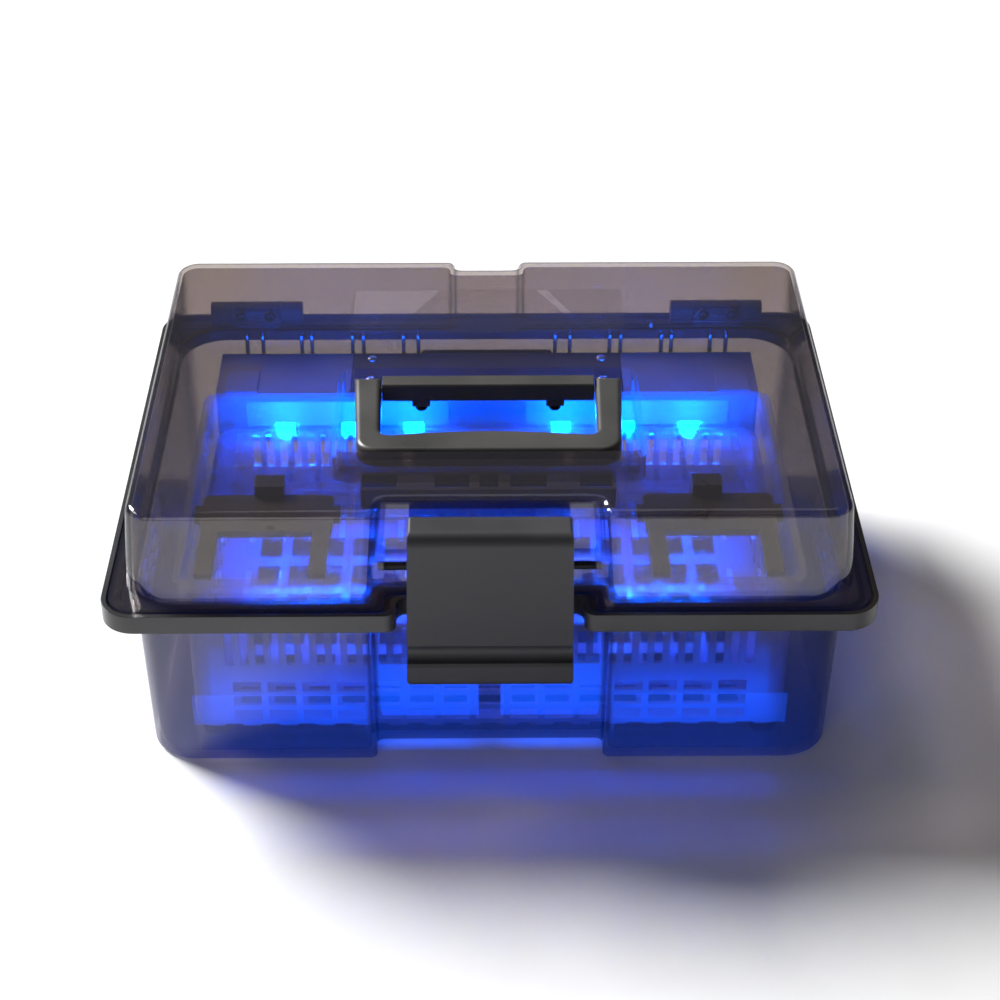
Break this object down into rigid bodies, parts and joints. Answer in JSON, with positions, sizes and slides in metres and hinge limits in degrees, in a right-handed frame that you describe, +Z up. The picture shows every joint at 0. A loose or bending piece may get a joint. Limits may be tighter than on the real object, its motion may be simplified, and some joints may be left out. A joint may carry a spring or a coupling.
{
  "type": "uv sterilizer case",
  "caption": "Portable smoked clear case with a hinged lid, folding handle, front latch, lift-out tool tray and ultraviolet lamps for barber tools.",
  "frame": {"origin": "centre of the whole case's footprint, on the surface that it stands on", "axes": "+Z up, -Y towards the front, where the latch is, X along the width"},
  "size_m": [0.34, 0.262, 0.1365],
  "materials": {
    "smoked_clear": "polished smoked polycarbonate",
    "clear": "clear moulded styrene",
    "black_rim": "polished, moulded",
    "black_moulding": "fine satin texture",
    "black_latch": "fine spark-eroded texture",
    "housing_grey": "satin",
    "door_grey": "satin",
    "rubber": "matt",
    "steel": "bright",
    "black_steel": "black oxide",
    "brass": "bright",
    "board": "solder mask",
    "component": "epoxy",
    "lamp": "silicone dome over a violet emitter",
    "cell_wrap": "shrink sleeve",
    "wire": "PVC sleeve",
    "label_clear": "clear film"
  },
  "bodies": {
    "base": {"base_shell": "smoked_clear", "base_rim": "black_rim", "rim_gasket": "rubber", "rubber_feet": "rubber", "hinge_base_left": "black_moulding", "hinge_base_right": "black_moulding", "hinge_pin_left": "steel", "hinge_pin_right": "steel", "hinge_base_screws": "steel", "basket": "clear", "lamp_housing": "housing_grey", "housing_cover": "housing_grey", "housing_screws": "steel", "battery_door_left": "door_grey", "battery_door_right": "door_grey", "battery_left": "cell_wrap", "battery_right": "cell_wrap", "battery_contacts": "brass", "led_board_left": "board", "led_board_right": "board", "led_emitters": "lamp", "lamp_lens_left": "clear", "lamp_lens_right": "clear", "lamp_wires": "wire", "control_board": "board", "control_components": "component", "button_switch": "component", "rear_panel": "black_moulding", "panel_screws": "steel", "indicator_lens": "clear", "charge_socket": "steel", "reed_switch": "clear"},
    "tray": {"tool_tray": "clear", "comb_rack": "black_moulding", "tool_rest_left": "black_moulding", "tool_rest_right": "black_moulding"},
    "lid": {"lid_shell": "smoked_clear", "lid_label": "label_clear", "lid_magnet": "steel", "handle_bracket": "black_moulding", "handle_pin_left": "steel", "handle_pin_right": "steel", "handle_screws": "steel", "latch_pin": "black_steel", "hinge_lid_left": "black_moulding", "hinge_lid_right": "black_moulding", "hinge_lid_screws": "steel"},
    "handle": {"handle": "black_moulding"},
    "latch": {"latch": "black_latch"},
    "power_button": {"power_button": "black_latch"}
  },
  "joints": [
    {"name": "lid_hinge", "type": "hinge", "parent": "base", "child": "lid", "pos_m": [0, 0.1265, 0.099], "axis": [-1, 0, 0], "range_deg": [0, 105]},
    {"name": "handle_fold", "type": "hinge", "parent": "lid", "child": "handle", "pos_m": [0, -0.0035, 0.1305], "axis": [-1, 0, 0], "range_deg": [0, 95]},
    {"name": "latch_rock", "type": "hinge", "parent": "lid", "child": "latch", "pos_m": [0, -0.112, 0.1084], "axis": [-1, 0, 0], "range_deg": [0, 22]},
    {"name": "tray_lift", "type": "slide", "parent": "base", "child": "tray", "axis": [0, 0, 1], "range_m": [0, 0.03]},
    {"name": "power_button_press", "type": "slide", "parent": "base", "child": "power_button", "axis": [0, -1, 0], "range_m": [0, 0.0012], "stiffness_N_per_m": 400, "springref_m": -0.0005}
  ]
}
